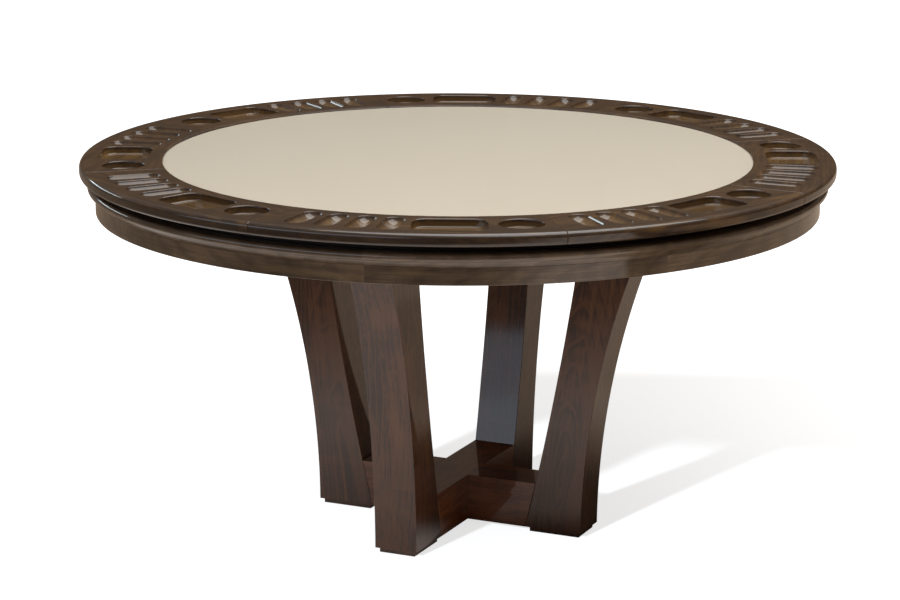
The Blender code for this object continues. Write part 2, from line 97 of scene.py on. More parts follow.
APRON_JOINT = math.radians(55.8)     # the first joint between the apron's lengths
CLOTH_ROLL = 0.006                   # width of the cloth's rolled rim
CLOTH_SWELL = 0.0002                 # how unevenly the cloth lies
CUT_CLEAR = 0.004                    # how far a cutter reaches above the face it cuts

# The viewpoint, in axes that are turned about Z with the camera
CAMERA_TURN = math.radians(24.4)     # round the table from -Y towards +X
CAMERA_PLACE = (-0.009, -5.920, 1.882)
CAMERA_YAW = math.radians(-0.06)
CAMERA_PITCH = math.radians(13.51)
CAMERA_ROLL = math.radians(-0.12)
CAMERA_LENS = 118.9


# ---------------------------------------------------------------- reading the frame

def node_points(node, turned=0.0):
    """A CAD node's vertices as an array, turned back about Z by an angle."""
    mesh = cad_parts[node].data
    points = np.empty(len(mesh.vertices) * 3)
    mesh.vertices.foreach_get("co", points)
    points = points.reshape(-1, 3)
    cosine, sine = math.cos(turned), math.sin(turned)
    turn_back = np.array([[cosine, -sine, 0], [sine, cosine, 0], [0, 0, 1]])
    return points @ turn_back


def node_box(node, turned=0.0):
    """A CAD node's lowest and highest corners after turning it back about Z."""
    points = node_points(node, turned)
    return Vector(points.min(axis=0)), Vector(points.max(axis=0))


def outer_radius(node):
    """The largest distance of a node's vertices from the table's axis."""
    return float(np.hypot(*node_points(node)[:, :2].T).max())


def inner_radius(node):
    """The smallest distance of a node's vertices from the table's axis."""
    return float(np.hypot(*node_points(node)[:, :2].T).min())


def bearing(node):
    """The direction of a node's middle, from +X."""
    centre = node_points(node).mean(axis=0)
    return math.atan2(centre[1], centre[0])


TOP_TURN = bearing("rail_spline_1")
TOP_LOW = node_box("rail_segment_1")[0].z
TOP_HIGH = node_box("rail_segment_1")[1].z
TOP_RADIUS = outer_radius("rail_segment_1")
RAIL_INNER = inner_radius("rail_segment_1")


# ---------------------------------------------------------------- mesh building

def polar(radius, angle, height):
    """The point at a radius and an angle from +X."""
    return Vector((radius * math.cos(angle), radius * math.sin(angle), height))


def arc(centre, radius, start, stop, steps):
    """Points on an arc, with its angles in degrees."""
    points = []
    for step in range(steps + 1):
        angle = math.radians(start + (stop - start) * step / steps)
        points.append((centre[0] + radius * math.cos(angle), centre[1] + radius * math.sin(angle)))
    return points


def skin(shape, rings, closed):
    """Joins rings of vertices by quads, and closes the tube end to end or with two caps."""
    count = len(rings[0])
    spans = len(rings) if closed else len(rings) - 1
    for span in range(spans):
        ring = rings[span]
        following = rings[(span + 1) % len(rings)]
        for index in range(count):
            after = (index + 1) % count
            shape.faces.new((ring[index], following[index], following[after], ring[after]))
    if not closed:
        shape.faces.new(rings[0])
        shape.faces.new(rings[-1])
    bmesh.ops.recalc_face_normals(shape, faces=shape.faces)
    return shape


def revolve(sections, closed):
    """Skins (angle, profile) sections whose profiles are (radius, height) points."""
    shape = bmesh.new()
    rings = []
    for angle, profile in sections:
        rings.append([shape.verts.new(polar(radius, angle, height)) for radius, height in profile])
    return skin(shape, rings, closed)


def full_ring(profile, steps=360):
    """A profile swept once round the table."""
    return revolve([(math.tau * step / steps, profile) for step in range(steps)], True)


def lathe(profile, steps=32):
    """A solid of revolution about Z, from its lowest (radius, height) point to its highest."""
    shape = bmesh.new()
    rings = []
    for radius, height in profile:
        points = [polar(radius, math.tau * step / steps, height) for step in range(steps)]
        rings.append([shape.verts.new(point) for point in points])
    return skin(shape, rings, False)


def stack(levels):
    """A closed solid through outlines of equal length, each given with its height."""
    shape = bmesh.new()
    rings = []
    for outline, height in levels:
        rings.append([shape.verts.new((x, y, height)) for x, y in outline])
    return skin(shape, rings, False)


def rectangle(low_x, high_x, low_y, high_y):
    """The outline of a rectangle."""
    return [(low_x, low_y), (high_x, low_y), (high_x, high_y), (low_x, high_y)]


def rounded_rectangle(size, corner, steps=10):
    """The outline of a rounded rectangle centred on the origin."""
    points = []
    for quarter, (side_x, side_y) in enumerate(((1, 1), (-1, 1), (-1, -1), (1, -1))):
        centre = (side_x * (size[0] / 2 - corner), side_y * (size[1] / 2 - corner))
        points += arc(centre, corner, 90 * quarter, 90 * quarter + 90, steps)
    return points


def stadium(half_run, radius, steps=14):
    """The outline of a slot along X with round ends."""
    return arc((half_run, 0), radius, -90, 90, steps) + arc((-half_run, 0), radius, 90, 270, steps)


def moved(shape, offset=(0, 0, 0), angle=0.0):
    """Shifts a shape and then turns it about Z."""
    bmesh.ops.translate(shape, verts=shape.verts, vec=Vector(offset))
    bmesh.ops.rotate(shape, verts=shape.verts, matrix=Matrix.Rotation(angle, 3, "Z"))
    return shape


def to_mesh(shape, name):
    """Turns a bmesh into mesh data."""
    mesh = bpy.data.meshes.new(name)
    shape.to_mesh(mesh)
    shape.free()
    return mesh


def joined(shapes):
    """Puts several shapes into one bmesh."""
    result = bmesh.new()
    for shape in shapes:
        carrier = to_mesh(shape, "carrier")
        result.from_mesh(carrier)
        bpy.data.meshes.remove(carrier)
    return result


def worked(shape, name, cutters=(), ease=0.0):
    """Cuts hollows into a shape, rounds its sharp edges, and gives the finished mesh."""
    body = bpy.data.objects.new(name, to_mesh(shape, name))
    bpy.context.scene.collection.objects.link(body)
    tool = None
    if ease:
        bevel = body.modifiers.new("ease", "BEVEL")
        bevel.width = ease
        bevel.segments = 3
        bevel.limit_method = "ANGLE"
        bevel.angle_limit = math.radians(40)
    if cutters:
        tool = bpy.data.objects.new("cutter", to_mesh(joined(cutters), "cutter"))
        bpy.context.scene.collection.objects.link(tool)
        boolean = body.modifiers.new("hollows", "BOOLEAN")
        boolean.operation = "DIFFERENCE"
        boolean.solver = "EXACT"
        boolean.object = tool
    depsgraph = bpy.context.evaluated_depsgraph_get()
    mesh = bpy.data.meshes.new_from_object(body.evaluated_get(depsgraph))
    mesh.name = name
    bpy.data.objects.remove(body)
    if tool:
        bpy.data.objects.remove(tool)
    return mesh


def pocket(node, turned=0.0):
    """A cutter that leaves a piece its clearance inside another: the piece's box, a little larger."""
    low, high = node_box(node, turned)
    outline = rectangle(low.x - GAP, high.x + GAP, low.y - GAP, high.y + GAP)
    return stack([(outline, low.z - GAP), (outline, high.z + GAP)])


def round_pocket(node, turned, extra):
    """A round cutter round an upright pin or bolt shank, reaching above and below it."""
    low, high = node_box(node, turned)
    radius = (high.x - low.x) / 2 + GAP
    shape = lathe([(radius, low.z - extra[0]), (radius, high.z + extra[1])])
    return moved(shape, ((low.x + high.x) / 2, (low.y + high.y) / 2, 0))


# ---------------------------------------------------------------- grain directions

def scatter(seed):
    """A repeatable small shift that moves a piece to a fresh place in its plank."""
    shares = [(seed * step) % 1 - 0.5 for step in (0.618, 0.414, 0.732)]
    return np.array([0.9, 0.06, 0.06]) * shares


def lay_grain(mesh, direction, shift):
    """Stores on each face corner where it lies in its plank: along, across and into the grain.

    direction turns an array of points, and their faces' middles, into plank coordinates.
    """
    corners = np.empty(len(mesh.loops), dtype=np.int64)
    mesh.loops.foreach_get("vertex_index", corners)
    points = np.empty(len(mesh.vertices) * 3)
    mesh.vertices.foreach_get("co", points)
    points = points.reshape(-1, 3)[corners]
    middles = np.empty(len(mesh.polygons) * 3)
    mesh.polygons.foreach_get("center", middles)
    sizes = np.empty(len(mesh.polygons), dtype=np.int64)
    mesh.polygons.foreach_get("loop_total", sizes)
    middles = np.repeat(middles.reshape(-1, 3), sizes, axis=0)
    plank = direction(points, middles)
    plank = plank + shift
    layer = mesh.attributes.new("grain", "FLOAT_VECTOR", "CORNER")
    layer.data.foreach_set("vector", plank.astype(np.float32).ravel())


def straight_grain(along, across):
    """Plank coordinates for straight timber whose grain runs along a direction."""
    along = np.array(along, float) / np.linalg.norm(along)
    across = np.array(across, float) / np.linalg.norm(across)
    into = np.cross(along, across)

    def direction(points, middles):
        plank = np.stack([points @ along, points @ across, points @ into], axis=1)
        return plank - (plank.min(axis=0) + plank.max(axis=0)) / 2

    return direction


def bent_grain(first_joint, joints):
    """Plank coordinates for a band bent round the table out of several lengths."""
    def direction(points, middles):
        centre = np.arctan2(middles[:, 1], middles[:, 0])
        angle = np.arctan2(points[:, 1], points[:, 0])
        angle = centre + (angle - centre + math.pi) % math.tau - math.pi
        radius = np.hypot(points[:, 0], points[:, 1])
        length = np.floor((centre - first_joint) / (math.tau / joints))
        return np.stack([
            angle * radius + 2.9 * length,
            points[:, 2] + 0.21 * length,
            radius + 0.13 * length,
        ], axis=1)

    return direction


# ---------------------------------------------------------------- shader helpers

def tone(red, green, blue):
    """An 8-bit display colour as the linear colour that a shader takes."""
    linear = []
    for level in (red, green, blue):
        share = level / 255
        linear.append(share / 12.92 if share <= 0.04045 else ((share + 0.055) / 1.055) ** 2.4)
    return (*linear, 1.0)


class Shader:
    """Adds and links the nodes of one material or of the world."""

    def __init__(self, owner, surface="Principled BSDF"):
        owner.use_nodes = True
        self.owner = owner
        self.tree = owner.node_tree
        self.surface = self.tree.nodes[surface]

    def node(self, kind, inputs=(), **settings):
        """A new node with its settings, and its inputs by name or number."""
        made = self.tree.nodes.new(kind)
        for key, value in settings.items():
            setattr(made, key, value)
        for key, value in dict(inputs).items():
            self.feed(made.inputs[key], value)
        return made

    def feed(self, socket, value):
        """Links a socket to another, or sets its value."""
        if isinstance(value, bpy.types.NodeSocket):
            self.tree.links.new(value, socket)
        else:
            socket.default_value = value

    def grain_place(self):
        """The plank coordinates stored on the mesh."""
        return self.node("ShaderNodeAttribute", attribute_name="grain").outputs["Vector"]

    def place(self):
        """The piece's own coordinates, in metres."""
        return self.node("ShaderNodeTexCoord").outputs["Object"]

    def scaled(self, vector, scale, shift=(0, 0, 0)):
        """A vector multiplied by three factors, then shifted."""
        made = self.node("ShaderNodeVectorMath", {0: vector, 1: scale, 2: shift}, operation="MULTIPLY_ADD")
        return made.outputs[0]

    def math(self, operation, first, second=0.0, third=0.0, clamp=False):
        """A math node's result."""
        inputs = {0: first, 1: second, 2: third}
        return self.node("ShaderNodeMath", inputs, operation=operation, use_clamp=clamp).outputs[0]

    def noise(self, vector, detail, roughness=0.55, distortion=0.0):
        """A noise texture's value, with features about one unit of the vector wide."""
        inputs = {
            "Vector": vector, "Scale": 1.0, "Detail": detail,
            "Roughness": roughness, "Distortion": distortion,
        }
        return self.node("ShaderNodeTexNoise", inputs).outputs["Fac"]

    def remap(self, value, low, high, to_low=0.0, to_high=1.0):
        """A value's range mapped smoothly to another."""
        inputs = {"Value": value, "From Min": low, "From Max": high, "To Min": to_low, "To Max": to_high}
        made = self.node("ShaderNodeMapRange", inputs, interpolation_type="SMOOTHSTEP")
        return made.outputs["Result"]

    def blend(self, share, first, second):
        """Two colours mixed by a share."""
        made = self.node("ShaderNodeMix", data_type="RGBA")
        self.feed(made.inputs["Factor"], share)
        self.feed(made.inputs["A"], first)
        self.feed(made.inputs["B"], second)
        return next(out for out in made.outputs if out.type == "RGBA")

    def dot(self, vector, direction):
        """How far a vector reaches along a direction."""
        inputs = {0: vector, 1: direction}
        return self.node("ShaderNodeVectorMath", inputs, operation="DOT_PRODUCT").outputs["Value"]

    def length(self, vector):
        """A vector's length."""
        return self.node("ShaderNodeVectorMath", {0: vector}, operation="LENGTH").outputs["Value"]

    def axes(self, vector):
        """A vector's X, Y and Z."""
        return self.node("ShaderNodeSeparateXYZ", {0: vector}).outputs

    def bump(self, height, distance, strength):
        """A normal bent by a height field."""
        inputs = {"Height": height, "Distance": distance, "Strength": strength}
        return self.node("ShaderNodeBump", inputs).outputs["Normal"]

    def finish(self, **inputs):
        """Feeds the surface's inputs, by their names with underscores for spaces."""
        for key, value in inputs.items():
            self.feed(self.surface.inputs[key.replace("_", " ")], value)
        return self.owner


# ---------------------------------------------------------------- materials

# How the timber's patterns stretch along, across and into the grain
RING_WANDER = (2.2, 9.0, 9.0)
RING_STRETCH = (0.16, 1.0, 0.8)
HEART = (0.0, 0.021, 0.033)          # moves the rings' centre out of the plank's middle
FIBRES = (9.0, 520.0, 520.0)
STREAKS = (2.4, 62.0, 62.0)
BLOTCHES = (5.0, 11.0, 11.0)
SHIMMER = (30.0, 9.0, 9.0)
PORES = (45.0, 1500.0, 1500.0)
FLECKS = (3.5, 34.0, 34.0)
FLECK_SHIFT = (5.0, 2.0, 7.0)
LACQUER_RIPPLE = (14.0, 30.0, 30.0)

RING_DRIFT = 0.060                   # how far the rings stray
RING_SHADE = 0.14
MIDDLE_TONE = 0.93                   # lightness of the middle stain
DARK_REACH = 0.27                    # from the middle stain down to the dark one
LIGHT_REACH = 0.31                   # and up to the light one
PAINTED_FOOT_SHADE_REACH = 0.42                    # height at which the painted shade on a leg's foot ends


def ring_pattern(shader, plank, spacing):
    """The growth rings' shade and the thin line that ends each ring."""
    wander = shader.noise(shader.scaled(plank, RING_WANDER), 2.0)
    drift = shader.math("MULTIPLY", shader.math("SUBTRACT", wander, 0.5), RING_DRIFT)
    distance = shader.length(shader.scaled(plank, RING_STRETCH, HEART))
    rings = shader.math("FRACT", shader.math("DIVIDE", shader.math("ADD", distance, drift), spacing))
    late = shader.remap(rings, 0.35, 0.93)
    early = shader.remap(rings, 0.93, 1.0)
    shade = shader.math("SUBTRACT", late, early, clamp=True)
    line = shader.math("MULTIPLY", shader.remap(rings, 0.74, 0.90), shader.remap(rings, 0.95, 1.0, 1.0, 0.0))
    return shade, line


def wood(name, dark, middle, light, fleck, spacing=0.010, figure=0.30, gloss=0.45, coat=1.0,
         planks=True, milled=None, foot=0.0, contrast=1.0):
    """Stained and lacquered timber: growth rings, fibres, pores, stain blotches and flecks.

    planks is for pieces that carry plank coordinates; without it the grain runs along X. milled
    is the paler stain inside the rail's hollows. foot is how much painted shade darkens the
    colour towards the floor, and contrast how strongly it varies.
    """
    shader = Shader(bpy.data.materials.new(name))
    plank = shader.grain_place() if planks else shader.place()
    ring_shade, ring_line = ring_pattern(shader, plank, spacing)

    fibres = shader.noise(shader.scaled(plank, FIBRES), 4.0, 0.62)
    streaks = shader.noise(shader.scaled(plank, STREAKS), 3.0, 0.6)
    blotch = shader.noise(shader.scaled(plank, BLOTCHES), 3.0, 0.5)
    shimmer = shader.noise(shader.scaled(plank, SHIMMER), 2.0, 0.5, 0.4)
    pores = shader.remap(shader.noise(shader.scaled(plank, PORES), 1.0), 0.60, 0.72)

    lightness = shader.math("MULTIPLY", ring_shade, -RING_SHADE / contrast)
    lightness = shader.math("MULTIPLY_ADD", fibres, 0.55, lightness)
    lightness = shader.math("MULTIPLY_ADD", streaks, 0.60, lightness)
    lightness = shader.math("MULTIPLY_ADD", shimmer, 0.34, lightness)
    lightness = shader.math("MULTIPLY_ADD", blotch, 0.65, lightness)
    low_half = shader.remap(lightness, MIDDLE_TONE - DARK_REACH / contrast, MIDDLE_TONE)
    high_half = shader.remap(lightness, MIDDLE_TONE, MIDDLE_TONE + LIGHT_REACH / contrast)
    colour = shader.blend(low_half, dark, middle)
    colour = shader.blend(high_half, colour, light)
    colour = shader.blend(shader.math("MULTIPLY", ring_line, figure), colour, light)
    flecks = shader.noise(shader.scaled(plank, FLECKS, FLECK_SHIFT), 2.0)
    colour = shader.blend(shader.remap(flecks, 0.58, 0.74, 0.0, 0.55), colour, fleck)
    colour = shader.blend(shader.math("MULTIPLY", pores, 0.45), colour, dark)
    if foot:
        # Painted shade: the colour darkens towards the floor
        height = shader.axes(shader.place())["Z"]
        colour = shader.blend(shader.remap(height, 0.0, PAINTED_FOOT_SHADE_REACH, foot, 0.0), colour, dark)
    if milled:
        colour = shader.blend(inside_hollow(shader), colour, shader.blend(streaks, dark, milled))

    relief = shader.math("MULTIPLY_ADD", pores, -0.8, fibres)
    normal = shader.bump(relief, 0.00012, 0.45)
    ripple = shader.noise(shader.scaled(plank, LACQUER_RIPPLE), 1.0)
    coat_normal = shader.bump(ripple, 0.00020, 0.10)
    dull = shader.math("MULTIPLY_ADD", streaks, 0.10, gloss - 0.05)
    return shader.finish(
        Base_Color=colour, Roughness=dull, Normal=normal, Specular_IOR_Level=0.2,
        Coat_Weight=coat, Coat_Roughness=0.035, Coat_Normal=coat_normal,
    )


def inside_hollow(shader):
    """One inside the hollows milled into the rail and zero on its outer faces."""
    place = shader.axes(shader.place())
    across = shader.math("MULTIPLY", place["X"], place["X"])
    square = shader.math("MULTIPLY_ADD", place["Y"], place["Y"], across)
    depth = shader.remap(place["Z"], TOP_HIGH - 0.009, TOP_HIGH - 0.003, 0.55, 0.0)
    above = shader.math("GREATER_THAN", place["Z"], TOP_LOW + 0.004)
    within = shader.math("LESS_THAN", square, (TOP_RADIUS - 0.02) ** 2)
    beyond = shader.math("GREATER_THAN", square, (RAIL_INNER + LIP_REACH) ** 2)
    between = shader.math("MULTIPLY", within, beyond)
    return shader.math("MULTIPLY", shader.math("MULTIPLY", depth, above), between)


THREAD_PITCH = 0.0011                # between two threads of the cloth


def playing_cloth_material():
    """Fine woven wool: two crossed sets of threads, a soft nap and a little unevenness."""
    shader = Shader(bpy.data.materials.new("cloth_weave"))
    place = shader.place()
    threads = shader.axes(place)
    waver = shader.math("MULTIPLY", shader.noise(shader.scaled(place, (60.0, 60.0, 60.0)), 1.0), 5.0)
    waves = []
    for axis in ("X", "Y"):
        phase = shader.math("MULTIPLY_ADD", threads[axis], math.tau / THREAD_PITCH, waver)
        waves.append(shader.math("MULTIPLY_ADD", shader.math("SINE", phase), 0.5, 0.5))
    weave = shader.math("MULTIPLY", waves[0], waves[1])
    nap = shader.noise(shader.scaled(place, (900.0, 700.0, 900.0)), 3.0, 0.7)
    cloud = shader.noise(shader.scaled(place, (3.0, 3.0, 3.0)), 3.0)
    colour = shader.blend(weave, tone(161, 153, 136), tone(178, 169, 152))
    colour = shader.blend(shader.remap(nap, 0.35, 0.75, 0.0, 0.45), colour, tone(188, 180, 163))
    colour = shader.blend(shader.remap(cloud, 0.35, 0.65, 0.0, 0.25), colour, tone(164, 156, 138))
    relief = shader.math("MULTIPLY_ADD", nap, 0.6, weave)
    return shader.finish(
        Base_Color=colour, Roughness=0.92, Normal=shader.bump(relief, 0.00022, 0.6),
        Sheen_Weight=0.25, Sheen_Roughness=0.45, Specular_IOR_Level=0.2,
    )


def steel_material():
    """Zinc-plated steel with fine turning marks and a faint bloom."""
    shader = Shader(bpy.data.materials.new("plated_steel"))
    place = shader.place()
    marks = shader.noise(shader.scaled(place, (90.0, 90.0, 2600.0)), 2.0)
    bloom = shader.noise(shader.scaled(place, (240.0, 240.0, 240.0)), 3.0)
    colour = shader.blend(shader.remap(bloom, 0.35, 0.7), tone(176, 178, 180), tone(206, 206, 202))
    return shader.finish(
        Base_Color=colour, Metallic=1.0, Roughness=shader.math("MULTIPLY_ADD", marks, 0.25, 0.20),
        Normal=shader.bump(marks, 0.00004, 0.5),
    )


def foam_material():
    """Pale closed-cell foam with small round cells."""
    shader = Shader(bpy.data.materials.new("foam_cells"))
    place = shader.place()
    cells = shader.node("ShaderNodeTexVoronoi", {"Vector": place, "Scale": 650.0}).outputs["Distance"]
    shade = shader.noise(shader.scaled(place, (25.0, 25.0, 25.0)), 3.0)
    colour = shader.blend(shader.remap(shade, 0.3, 0.7), tone(206, 203, 194), tone(222, 220, 212))
    return shader.finish(Base_Color=colour, Roughness=0.9, Normal=shader.bump(cells, 0.0004, 0.6))


WHITE = (1, 1, 1, 1)


def seen_from_camera(x, y):
    """A level direction given as the camera sees it: X to its right and Y away from it."""
    return Matrix.Rotation(CAMERA_TURN, 3, "Z") @ Vector((x, y, 0))


def painted_floor_in_reflections(shader, place):
    """Painted light and shade of the floor as reflections see it: a painted lit patch just in front of the
    feet, painted shade under them and darker farther off.
    """
    front_left = shader.dot(place, seen_from_camera(-0.74, -0.67))
    back_right = shader.dot(place, seen_from_camera(0.66, 0.75))
    back_left = shader.dot(place, seen_from_camera(-0.78, 0.63))
    # Painted light and shade: these colours stand for a lit patch in front, shadowed floor near the feet and
    # dimmer floor farther off
    colour = shader.blend(shader.remap(front_left, 0.6, 2.1), tone(232, 226, 222), tone(72, 62, 52))
    colour = shader.blend(shader.remap(back_right, -0.18, 0.0), colour, tone(60, 50, 42))
    colour = shader.blend(shader.remap(back_right, 0.35, 0.85), colour, tone(160, 144, 128))
    return shader.blend(shader.remap(back_left, 0.9, 1.8), colour, tone(118, 104, 90))


def floor_material():
    """A pale matt floor for the camera, with painted light and shade of its own in reflections.

    Painted light: its glow for the camera grows towards the back and the right and washes the table's shadow
    out there.
    """
    shader = Shader(bpy.data.materials.new("pale_floor"))
    place = shader.place()
    mottle = shader.noise(shader.scaled(place, (1.5, 1.5, 1.5)), 3.0)
    pale = shader.blend(mottle, tone(197, 202, 208), tone(201, 206, 212))
    reflected_painted_floor = painted_floor_in_reflections(shader, place)
    # Painted shade: in reflections the floor glows less under the table and more farther out
    painted_shade_glow = shader.remap(shader.length(place), 0.15, 0.95, 0.04, 0.62)
    # Painted light: the camera's glow rises towards the back and the right, so the table's shadow fades out
    # there
    back = shader.remap(shader.dot(place, seen_from_camera(0, 1)), 1.08, 1.28, 0.0, 0.30)
    right = shader.remap(shader.dot(place, seen_from_camera(1, 0)), 0.2, 1.1, 0.0, 0.17)
    glow = shader.math("ADD", shader.math("ADD", back, right), 0.72)
    seen = shader.node("ShaderNodeLightPath").outputs["Is Camera Ray"]
    strength = shader.node("ShaderNodeMapRange", {"Value": seen, "To Min": painted_shade_glow, "To Max": glow})
    return shader.finish(
        Base_Color=shader.blend(seen, reflected_painted_floor, pale), Roughness=0.9, Specular_IOR_Level=0.1,
        Emission_Color=shader.blend(seen, reflected_painted_floor, WHITE), Emission_Strength=strength.outputs["Result"],
    )


RAIL_WOOD = wood("rail_lacquer", tone(28, 18, 12), tone(50, 34, 21), tone(80, 57, 32), tone(112, 82, 40),
                 milled=tone(150, 116, 68))
APRON_WOOD = wood("apron_lacquer", tone(55, 43, 31), tone(92, 75, 58), tone(127, 106, 83), tone(142, 117, 82),
                  spacing=0.012, figure=0.18)
# The legs' lacquer carries painted shade that darkens it towards the floor
LEG_WOOD = wood("leg_lacquer", tone(34, 16, 8), tone(60, 34, 18), tone(98, 61, 35), tone(118, 76, 42),
                figure=0.9, foot=0.25, contrast=1.25)
STRETCHER_WOOD = wood("stretcher_lacquer", tone(50, 21, 8), tone(80, 40, 17), tone(110, 62, 29),
                      tone(134, 84, 40), figure=0.4, contrast=1.25)
# Painted shade: the support ring sits in the dark gap under the top, and its near-black, almost unlacquered
# tone stands in for that gap's deep shade
NECK_PAINTED_SHADE = wood("neck_painted_shade", tone(16, 11, 8), tone(26, 18, 13), tone(36, 26, 18), tone(44, 32, 22),
                 gloss=0.55, coat=0.05)
PANEL_WOOD = wood("panel_lacquer", tone(38, 26, 18), tone(60, 43, 28), tone(88, 65, 40), tone(118, 88, 48),
                  planks=False)
HIDDEN_WOOD = wood("hidden_timber_x", tone(140, 108, 72), tone(172, 138, 96), tone(196, 162, 118),
                   tone(206, 176, 132), gloss=0.65, coat=0.0, planks=False)
CLOTH = playing_cloth_material()
STEEL = steel_material()
FOAM = foam_material()


# ---------------------------------------------------------------- placing pieces

def add_piece(name, mesh, material, body, nodes, turned=0.0):
    """One visible piece on its body, standing for its CAD nodes."""
    mesh.materials.clear()
    mesh.materials.append(material)
    mesh.shade_smooth()
    mesh.set_sharp_from_angle(angle=math.radians(38))
    mesh.transform(Matrix.Rotation(turned, 4, "Z"))
    piece = bpy.data.objects.new(name, mesh)
    bpy.context.scene.collection.objects.link(piece)
    weighted = piece.modifiers.new("even_shading", "WEIGHTED_NORMAL")
    weighted.keep_sharp = True
    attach(piece, body)
    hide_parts(*nodes)
    return piece


# ---------------------------------------------------------------- game top

def rail_profile():
    """A rail segment's section with fine roundings and the slot for the core's tongue."""
    slot_radius = outer_radius("core_panel") + GAP
    slot_low = node_box("core_panel")[0].z - GAP
    slot_high = node_box("core_panel")[1].z + GAP
    nose_low = (TOP_RADIUS - NOSE_LOWER, TOP_LOW + NOSE_LOWER)
    nose_high = (TOP_RADIUS - NOSE_UPPER, TOP_HIGH - NOSE_UPPER)
    lip = arc((0, 0), 1, 90, 180, 10)
    profile = [(RAIL_INNER, TOP_LOW)]
    profile += arc(nose_low, NOSE_LOWER, -90, 0, 8)
    profile += arc(nose_high, NOSE_UPPER, 0, 90, 10)
    profile += [(RAIL_INNER + LIP_REACH * (1 + x), TOP_HIGH - LIP_DROP * (1 - y)) for x, y in lip]
    profile += [(RAIL_INNER, slot_high), (slot_radius, slot_high)]
    profile += [(slot_radius, slot_low), (RAIL_INNER, slot_low)]
    return profile


def shrunk(profile, distance):
    """A counter-clockwise outline moved inwards by a distance."""
    result = []
    for index, point in enumerate(profile):
        before = profile[index - 1]
        after = profile[(index + 1) % len(profile)]
        run = Vector((after[0] - before[0], after[1] - before[1])).normalized()
        result.append((point[0] - run.y * distance, point[1] + run.x * distance))
    return result


def groove_cutter():
    """A ball-nosed chip groove with a rounded rim, along X over the origin."""
    half_width = math.sqrt(GROOVE_BALL ** 2 - (GROOVE_BALL - GROOVE_DEPTH) ** 2)
    half_run = GROOVE_LENGTH / 2 - half_width
    lift = GROOVE_BALL - GROOVE_DEPTH
    reach = math.sqrt((GROOVE_BALL + GROOVE_RIM) ** 2 - (lift + GROOVE_RIM) ** 2)
    contact = math.atan2(reach, lift + GROOVE_RIM)
    levels = []
    for step in range(1, 15):
        angle = contact * step / 14
        height = TOP_HIGH + lift - GROOVE_BALL * math.cos(angle)
        levels.append((stadium(half_run, GROOVE_BALL * math.sin(angle)), height))
    first = math.pi / 2 - contact
    for step in range(1, 6):
        angle = first + (RIM_END - first) * step / 5
        width = reach - GROOVE_RIM * math.cos(angle)
        levels.append((stadium(half_run, width), TOP_HIGH - GROOVE_RIM + GROOVE_RIM * math.sin(angle)))
    levels.append((levels[-1][0], TOP_HIGH + CUT_CLEAR))
    return stack(levels)


def well_cutter(outline_at):
    """A flat well with a rounded floor and rim. outline_at gives its outline, grown by an offset."""
    floor = TOP_HIGH - WELL_DEPTH
    levels = []
    for step in range(7):
        angle = math.pi / 2 * step / 6
        offset = WELL_FLOOR * (math.sin(angle) - 1)
        levels.append((outline_at(offset), floor + WELL_FLOOR * (1 - math.cos(angle))))
    for step in range(7):
        angle = RIM_END * step / 6
        offset = WELL_RIM * (1 - math.cos(angle))
        levels.append((outline_at(offset), TOP_HIGH - WELL_RIM * (1 - math.sin(angle))))
    levels.append((levels[-1][0], TOP_HIGH + CUT_CLEAR))
    return stack(levels)


def tray_outline(offset):
    """A tray's outline, grown by an offset."""
    size = (TRAY_SIZE[0] + 2 * offset, TRAY_SIZE[1] + 2 * offset)
    return rounded_rectangle(size, TRAY_CORNER + offset)


def cup_outline(offset):
    """A cup well's outline, grown by an offset."""
    last = 360 - 360 / CUP_POINTS
    return arc((0, 0), CUP_RADIUS + offset, 0, last, CUP_POINTS - 1)


def rail_mesh():
    """One player's station with its hollows, eased seams, spline slots and pin hole."""
    profile = rail_profile()
    margin = GAP / 2 / RAIL_INNER
    ease = SEAM_EASE / RAIL_INNER
    low, high = margin + ease, STATION_ANGLE - margin - ease
    steps = 36
    sections = [(margin, shrunk(profile, SEAM_EASE))]
    sections += [(low + (high - low) * step / steps, profile) for step in range(steps + 1)]
    sections.append((STATION_ANGLE - margin, shrunk(profile, SEAM_EASE)))
    out = (RAIL_MIDDLE, 0, 0)
    cutters = [moved(groove_cutter(), out, angle) for angle in GROOVE_ANGLES]
    cutters.append(moved(well_cutter(tray_outline), out, TRAY_ANGLE))
    cutters.append(moved(well_cutter(cup_outline), out, CUP_ANGLE))
    cutters.append(pocket("rail_spline_1", TOP_TURN))
    cutters.append(moved(pocket("rail_spline_1", TOP_TURN), angle=STATION_ANGLE))
    cutters.append(round_pocket("locating_pin_1", TOP_TURN, (0.0, 0.001)))
    return worked(revolve(sections, False), "rail", cutters)


def build_rail():
    """Eight rail segments, each cut from its own length of timber."""
    master = rail_mesh()
    middle = STATION_ANGLE / 2
    along = (-math.sin(middle), math.cos(middle), 0)
    direction = straight_grain(along, (math.cos(middle), math.sin(middle), 0))
    for station in range(STATIONS):
        mesh = master.copy()
        lay_grain(mesh, direction, scatter(station + 1))
        turned = TOP_TURN + STATION_ANGLE * station
        add_piece(f"rail_{station + 1}", mesh, RAIL_WOOD, "game_top",
                  [f"rail_segment_{station + 1}"], turned)
    bpy.data.meshes.remove(master)


def quads_between(shape, inner, outer):
    """Joins two closed rows of vertices by quads."""
    for index in range(len(inner)):
        after = (index + 1) % len(inner)
        shape.faces.new((inner[index], outer[index], outer[after], inner[after]))


